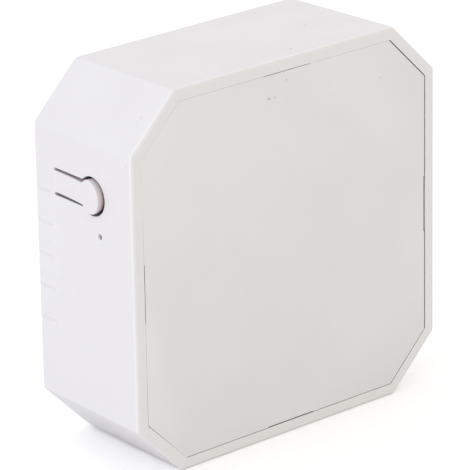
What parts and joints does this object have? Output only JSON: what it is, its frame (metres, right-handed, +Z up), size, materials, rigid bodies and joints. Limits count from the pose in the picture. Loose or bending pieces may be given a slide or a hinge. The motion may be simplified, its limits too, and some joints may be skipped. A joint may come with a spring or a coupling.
{
  "type": "smart shutter switch module",
  "caption": "Octagonal in-wall shutter control module with a snap-in cover, a springy side button, a status light pinhole and rising-clamp screw terminals.",
  "frame": {"origin": "under the middle of the housing, on the surface that it stands on", "axes": "+Z up as in the picture, -Y out of the cover, +Y out of the rear wall, -X out of the button wall"},
  "size_m": [0.0466, 0.018, 0.046],
  "materials": {
    "housing_plastic": "fine matt",
    "cover_plastic": "fine matt",
    "board": "solder mask",
    "radio_board": "solder mask",
    "black_plastic": "moulded",
    "tinned_steel": "tinned",
    "clear_resin": "clear",
    "terminal_plastic": "moulded",
    "screw_steel": "zinc plated",
    "clamp_brass": "nickel plated",
    "contact_brass": "tinned",
    "relay_plastic": "moulded",
    "capacitor_sleeve": "shrunk sleeve",
    "varistor_coat": "dipped",
    "resistor_coat": "coated",
    "ferrite": "sintered",
    "enamelled_wire": "enamelled",
    "chip_ceramic": "glazed"
  },
  "bodies": {
    "module": {"housing": "housing_plastic", "cover_plate": "cover_plastic", "main_board": "board", "switch_base": "black_plastic", "switch_frame": "tinned_steel", "status_led": "clear_resin", "terminal_block_left": "terminal_plastic", "terminal_block_right": "terminal_plastic", "terminal_contact_1": "contact_brass", "terminal_contact_2": "contact_brass", "terminal_contact_3": "contact_brass", "terminal_contact_4": "contact_brass", "terminal_contact_5": "contact_brass", "terminal_contact_6": "contact_brass", "relay_up_base": "black_plastic", "relay_up_case": "relay_plastic", "relay_down_base": "black_plastic", "relay_down_case": "relay_plastic", "radio_board": "radio_board", "radio_chip": "black_plastic", "radio_shield": "tinned_steel", "input_capacitor": "capacitor_sleeve", "output_capacitor": "capacitor_sleeve", "varistor": "varistor_coat", "fusible_resistor": "resistor_coat", "inductor_core": "ferrite", "inductor_winding": "enamelled_wire", "bridge_rectifier": "black_plastic", "converter_chip": "black_plastic", "voltage_regulator": "black_plastic", "relay_drivers": "black_plastic", "input_resistors": "chip_ceramic"},
    "button": {"learn_button": "housing_plastic"},
    "plunger": {"switch_plunger": "black_plastic"},
    "screw_1": {"terminal_screw_1": "screw_steel"},
    "clamp_1": {"wire_clamp_1": "clamp_brass"},
    "screw_2": {"terminal_screw_2": "screw_steel"},
    "clamp_2": {"wire_clamp_2": "clamp_brass"},
    "screw_3": {"terminal_screw_3": "screw_steel"},
    "clamp_3": {"wire_clamp_3": "clamp_brass"},
    "screw_4": {"terminal_screw_4": "screw_steel"},
    "clamp_4": {"wire_clamp_4": "clamp_brass"},
    "screw_5": {"terminal_screw_5": "screw_steel"},
    "clamp_5": {"wire_clamp_5": "clamp_brass"},
    "screw_6": {"terminal_screw_6": "screw_steel"},
    "clamp_6": {"wire_clamp_6": "clamp_brass"}
  },
  "joints": [
    {"name": "button_press", "type": "hinge", "parent": "module", "child": "button", "pos_m": [-0.02239, 0.00495, 0.0331], "axis": [0, 0, 1], "range_deg": [0, 2.15]},
    {"name": "plunger_slide", "type": "slide", "parent": "module", "child": "plunger", "axis": [1, 0, 0], "range_m": [0, 0.00025], "stiffness_N_per_m": 9200},
    {"name": "screw_1_turn", "type": "hinge", "parent": "module", "child": "screw_1", "pos_m": [-0.0125, 0.008, 0.006], "axis": [0, -1, 0], "range_deg": [0, 1440.01]},
    {"name": "clamp_1_rise", "type": "slide", "parent": "module", "child": "clamp_1", "axis": [0, 1, 0], "range_m": [0, 0.0018]},
    {"name": "screw_2_turn", "type": "hinge", "parent": "module", "child": "screw_2", "pos_m": [-0.0075, 0.008, 0.006], "axis": [0, -1, 0], "range_deg": [0, 1440.01]},
    {"name": "clamp_2_rise", "type": "slide", "parent": "module", "child": "clamp_2", "axis": [0, 1, 0], "range_m": [0, 0.0018]},
    {"name": "screw_3_turn", "type": "hinge", "parent": "module", "child": "screw_3", "pos_m": [-0.0025, 0.008, 0.006], "axis": [0, -1, 0], "range_deg": [0, 1440.01]},
    {"name": "clamp_3_rise", "type": "slide", "parent": "module", "child": "clamp_3", "axis": [0, 1, 0], "range_m": [0, 0.0018]},
    {"name": "screw_4_turn", "type": "hinge", "parent": "module", "child": "screw_4", "pos_m": [0.0025, 0.008, 0.006], "axis": [0, -1, 0], "range_deg": [0, 1440.01]},
    {"name": "clamp_4_rise", "type": "slide", "parent": "module", "child": "clamp_4", "axis": [0, 1, 0], "range_m": [0, 0.0018]},
    {"name": "screw_5_turn", "type": "hinge", "parent": "module", "child": "screw_5", "pos_m": [0.0075, 0.008, 0.006], "axis": [0, -1, 0], "range_deg": [0, 1440.01]},
    {"name": "clamp_5_rise", "type": "slide", "parent": "module", "child": "clamp_5", "axis": [0, 1, 0], "range_m": [0, 0.0018]},
    {"name": "screw_6_turn", "type": "hinge", "parent": "module", "child": "screw_6", "pos_m": [0.0125, 0.008, 0.006], "axis": [0, -1, 0], "range_deg": [0, 1440.01]},
    {"name": "clamp_6_rise", "type": "slide", "parent": "module", "child": "clamp_6", "axis": [0, 1, 0], "range_m": [0, 0.0018]}
  ],
  "couplings": [
    {"joint": "button_press", "follows": "plunger_slide", "rad_per_m": 150.16},
    {"joint": "screw_1_turn", "follows": "clamp_1_rise", "rad_per_m": 13963},
    {"joint": "screw_2_turn", "follows": "clamp_2_rise", "rad_per_m": 13963},
    {"joint": "screw_3_turn", "follows": "clamp_3_rise", "rad_per_m": 13963},
    {"joint": "screw_4_turn", "follows": "clamp_4_rise", "rad_per_m": 13963},
    {"joint": "screw_5_turn", "follows": "clamp_5_rise", "rad_per_m": 13963},
    {"joint": "screw_6_turn", "follows": "clamp_6_rise", "rad_per_m": 13963}
  ]
}
